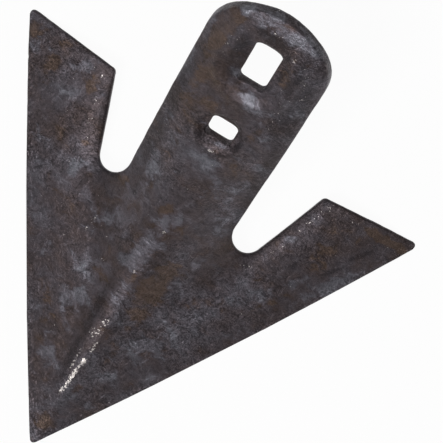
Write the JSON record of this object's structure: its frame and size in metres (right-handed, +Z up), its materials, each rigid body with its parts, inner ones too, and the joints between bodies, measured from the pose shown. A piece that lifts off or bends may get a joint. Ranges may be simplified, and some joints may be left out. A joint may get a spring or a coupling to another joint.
{
  "type": "cultivator sweep",
  "caption": "Forged steel cultivator sweep with a pointed crowned blade, two swept wings and an upswept stem with a square bolt hole and a slot in countersunk dishes.",
  "frame": {"origin": "centre of the bounding box's base: on the plane of symmetry, level with the ground land under the cutting edges", "axes": "+X across the blade, +Y from the nose towards the stem, so the sweep works towards -Y, and +Z up, square to the ground land"},
  "size_m": [0.2272, 0.2328, 0.1462],
  "materials": {
    "forged_steel": "dark mill scale from forging and heat treatment, with light brown rust bloom and a few worn bright spots"
  },
  "bodies": {
    "root": {"sweep": "forged_steel"}
  },
  "joints": []
}
